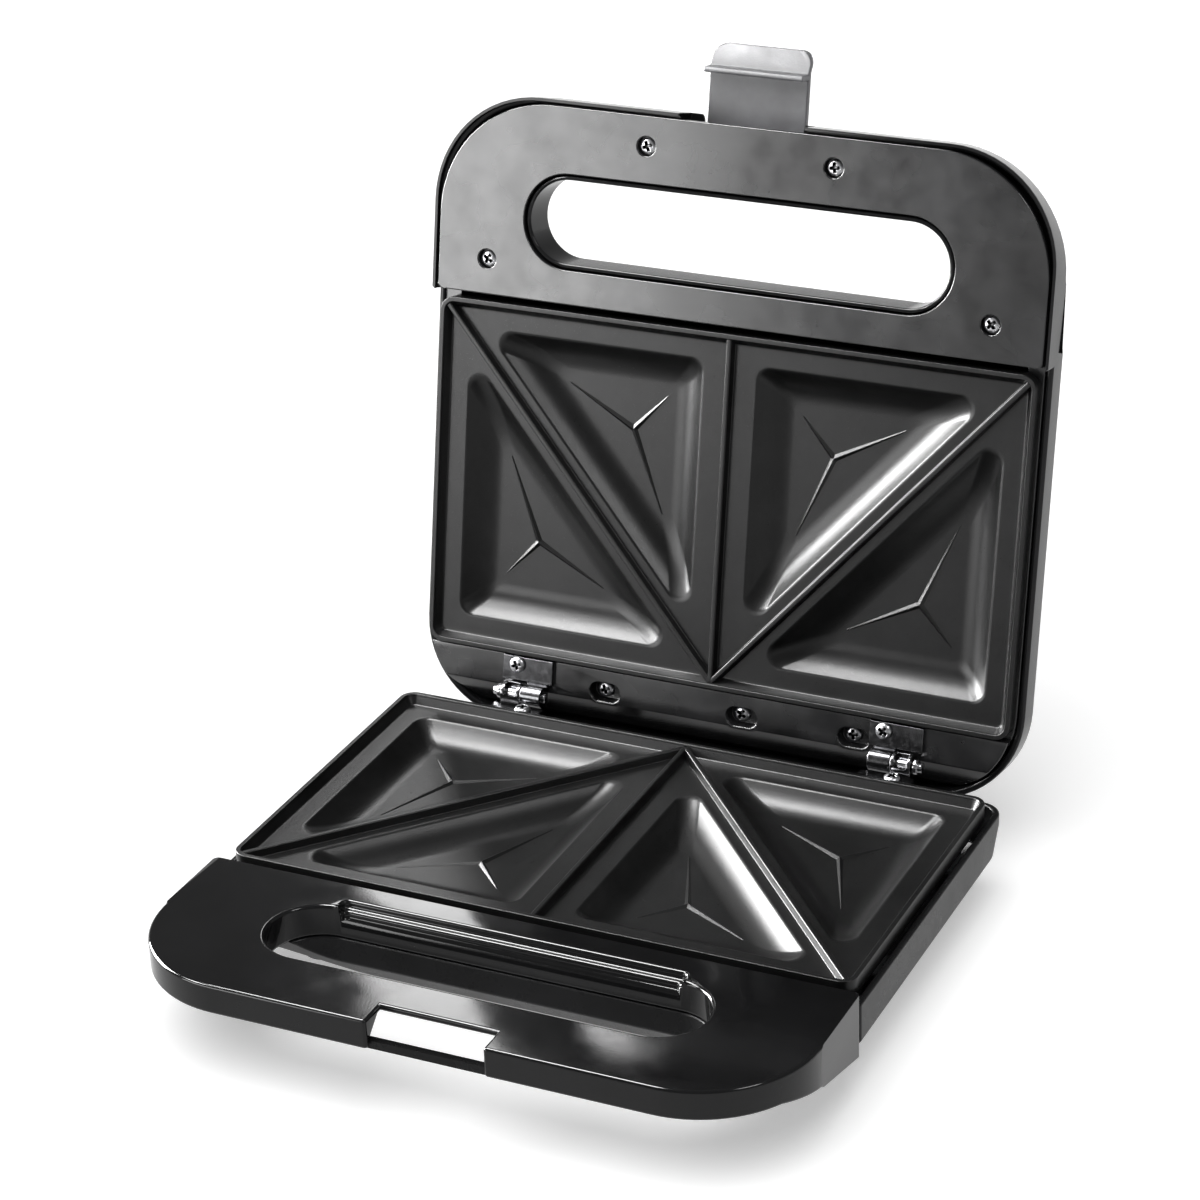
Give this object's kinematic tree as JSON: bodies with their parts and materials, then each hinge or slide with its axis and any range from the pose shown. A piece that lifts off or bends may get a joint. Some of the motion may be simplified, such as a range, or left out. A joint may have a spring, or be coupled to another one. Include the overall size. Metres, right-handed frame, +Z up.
{
  "type": "sandwich toaster",
  "caption": "Hinged electric sandwich toaster with cast triangle-pocket plates, slotted handles and a swinging latch, stored open.",
  "frame": {"origin": "middle of the bounding box's footprint, on the surface that the feet stand on", "axes": "+X to the right seen from the handle side, +Y from the handle towards the hinge, +Z up"},
  "size_m": [0.234, 0.2873, 0.2708],
  "materials": {
    "casing": "gloss black plastic",
    "gloss_black": "high-gloss black plastic",
    "lid_casing": "gloss black plastic",
    "gloss_black_lid": "high-gloss black plastic",
    "cast_plate": "cast, dark non-stick coating",
    "element_steel": "heat-tinted steel sheath",
    "reflector": "bright pressed sheet",
    "screw_steel": "plain",
    "rubber": "matte",
    "ceramic_body": "unglazed",
    "terminal_plastic": "matte",
    "lead_sleeve": "woven glass sleeve",
    "gland_rubber": "matte",
    "hinge_metal": "polished",
    "pin_metal": "polished",
    "circuit_board": "green board",
    "lamp_glass": "clear",
    "red_lens": "clear red",
    "green_lens": "clear green",
    "latch_smoke": "satin smoke grey"
  },
  "bodies": {
    "base": {"base_shell": "casing", "base_handle_cover": "gloss_black", "lower_plate": "cast_plate", "lower_heating_element": "element_steel", "lower_heat_shield": "reflector", "lower_plate_screws": "screw_steel", "base_handle_screws": "screw_steel", "rubber_feet": "rubber", "thermal_fuse": "ceramic_body", "terminal_block": "terminal_plastic", "base_leads": "lead_sleeve", "cord_gland": "gland_rubber", "hinge_bracket_left": "hinge_metal", "hinge_bracket_right": "hinge_metal", "hinge_bracket_screws": "screw_steel", "hinge_pin_left": "pin_metal", "hinge_pin_right": "pin_metal"},
    "lid": {"lid_shell": "lid_casing", "lid_inner_frame": "gloss_black_lid", "upper_plate": "cast_plate", "upper_heating_element": "element_steel", "upper_heat_shield": "reflector", "upper_plate_screws": "screw_steel", "lid_handle_screws": "screw_steel", "lid_rear_screws": "screw_steel", "hinge_leaf_left": "hinge_metal", "hinge_leaf_right": "hinge_metal", "hinge_leaf_screws": "screw_steel", "thermostat": "ceramic_body", "lid_leads": "lead_sleeve", "lamp_board": "circuit_board", "indicator_lamps": "lamp_glass", "power_lens": "red_lens", "ready_lens": "green_lens", "latch_pin": "pin_metal"},
    "latch": {"latch": "latch_smoke"}
  },
  "joints": [
    {"name": "lid_hinge", "type": "hinge", "parent": "base", "child": "lid", "pos_m": [0, 0.0755, 0.0369], "axis": [1, 0, 0], "range_deg": [0, 100.9]},
    {"name": "latch_pivot", "type": "hinge", "parent": "lid", "child": "latch", "pos_m": [0, 0.12534, 0.24228], "axis": [1, 0, 0], "range_deg": [0, 90]}
  ]
}
